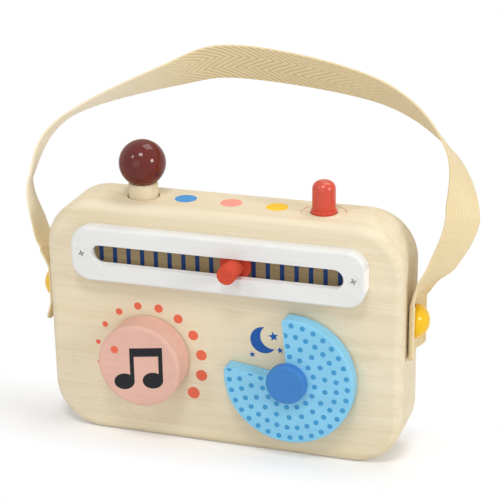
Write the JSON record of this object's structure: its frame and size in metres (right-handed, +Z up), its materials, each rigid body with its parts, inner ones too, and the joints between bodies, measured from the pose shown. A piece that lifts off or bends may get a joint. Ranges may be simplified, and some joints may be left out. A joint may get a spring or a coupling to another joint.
{
  "type": "toy radio",
  "caption": "Wooden toy radio with a slotted tuner plate and sliding peg, turning knob and windowed disc, pull-up antenna, push button and webbing carry strap.",
  "frame": {"origin": "middle of the flat base of the wooden block", "axes": "+X to the viewer's right, +Y away from the viewer into the back, +Z up"},
  "size_m": [0.2562, 0.107, 0.2072],
  "materials": {
    "raw_wood": "sanded and clear, pale",
    "white_paint": "satin paint on wood",
    "red_paint": "satin paint on wood",
    "maroon_lacquer": "gloss lacquer on wood",
    "pink_paint": "satin paint on wood",
    "sky_paint": "satin paint on wood",
    "blue_paint": "satin paint on wood",
    "yellow_paint": "satin paint on wood",
    "webbing": "herringbone cotton webbing",
    "felt": "felt",
    "rubber_ring": "matte",
    "spring_steel": "drawn wire",
    "white_screw": "painted steel"
  },
  "bodies": {
    "block": {"body_block": "raw_wood", "dial_plate": "white_paint", "dial_plate_screws": "white_screw", "antenna_stop_pin": "raw_wood", "button_bushing": "raw_wood", "button_spring": "spring_steel", "strap_button_left": "yellow_paint", "strap_button_right": "yellow_paint"},
    "antenna": {"antenna_dowel": "raw_wood", "antenna_ball": "maroon_lacquer", "antenna_grip_ring": "rubber_ring"},
    "slider": {"slider_peg": "red_paint"},
    "volume": {"volume_knob": "pink_paint", "volume_axle": "raw_wood", "volume_washer": "felt"},
    "weather": {"weather_disc": "sky_paint", "weather_hub": "blue_paint", "weather_axle": "raw_wood", "weather_washer": "felt"},
    "button": {"push_button": "red_paint"},
    "strap": {"strap": "webbing"}
  },
  "joints": [
    {"name": "antenna_slide", "type": "slide", "parent": "block", "child": "antenna", "axis": [0, 0, 1], "range_m": [0, 0.022]},
    {"name": "button_press", "type": "slide", "parent": "block", "child": "button", "axis": [0, 0, -1], "range_m": [0, 0.01], "stiffness_N_per_m": 300, "springref_m": -0.004, "deforming": ["button_spring"]},
    {"name": "slider_run", "type": "slide", "parent": "block", "child": "slider", "axis": [1, 0, 0], "range_m": [-0.0725, 0.0525]},
    {"name": "volume_turn", "type": "hinge", "parent": "block", "child": "volume", "pos_m": [-0.0416, 0, 0.0496], "axis": [0, -1, 0], "continuous": true},
    {"name": "weather_turn", "type": "hinge", "parent": "block", "child": "weather", "pos_m": [0.0402, 0, 0.0478], "axis": [0, -1, 0], "continuous": true},
    {"name": "strap_swing", "type": "hinge", "parent": "block", "child": "strap", "pos_m": [0, 0, 0.079], "axis": [1, 0, 0], "range_deg": [-60, 110]}
  ]
}
